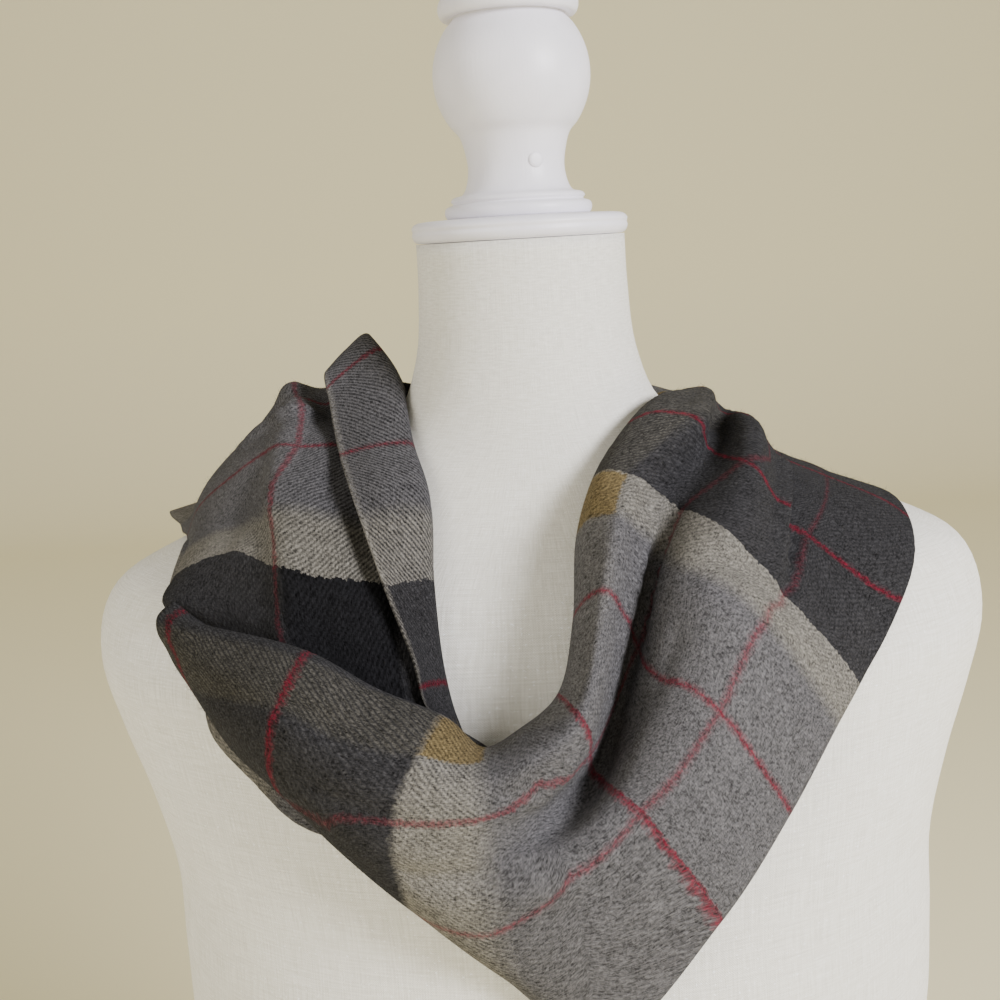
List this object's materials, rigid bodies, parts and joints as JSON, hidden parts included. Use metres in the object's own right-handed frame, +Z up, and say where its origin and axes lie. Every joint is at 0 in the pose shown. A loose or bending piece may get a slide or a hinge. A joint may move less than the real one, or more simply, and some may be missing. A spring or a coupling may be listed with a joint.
{
  "type": "plaid scarf on a dress form",
  "caption": "Grey wool plaid scarf worn as a loose V-necked cowl on a limbless linen-covered dress form with a turned wooden neck cap and finial",
  "frame": {"origin": "centre of the underside of the base board, on the neck's axis", "axes": "+Z up, +X to the right of someone who faces the front, +Y to the back"},
  "size_m": [0.3904, 0.2731, 0.815],
  "materials": {
    "scarf_front": "soft brushed twill",
    "scarf_right_shoulder": "soft brushed twill",
    "scarf_back": "soft brushed twill",
    "scarf_left_shoulder": "soft brushed twill",
    "scarf_left_lapel": "twill side",
    "scarf_tail": "soft brushed twill",
    "form_torso": "matte off-white linen weave",
    "base_board": "satin white paint",
    "neck_cap": "satin white paint",
    "finial": "satin white paint"
  },
  "bodies": {
    "root": {"scarf_front": "scarf_front", "scarf_right_shoulder": "scarf_right_shoulder", "scarf_back": "scarf_back", "scarf_left_shoulder": "scarf_left_shoulder", "scarf_left_lapel": "scarf_left_lapel", "scarf_tail": "scarf_tail", "form_torso": "form_torso", "base_board": "base_board", "neck_cap": "neck_cap", "finial": "finial"}
  },
  "joints": []
}
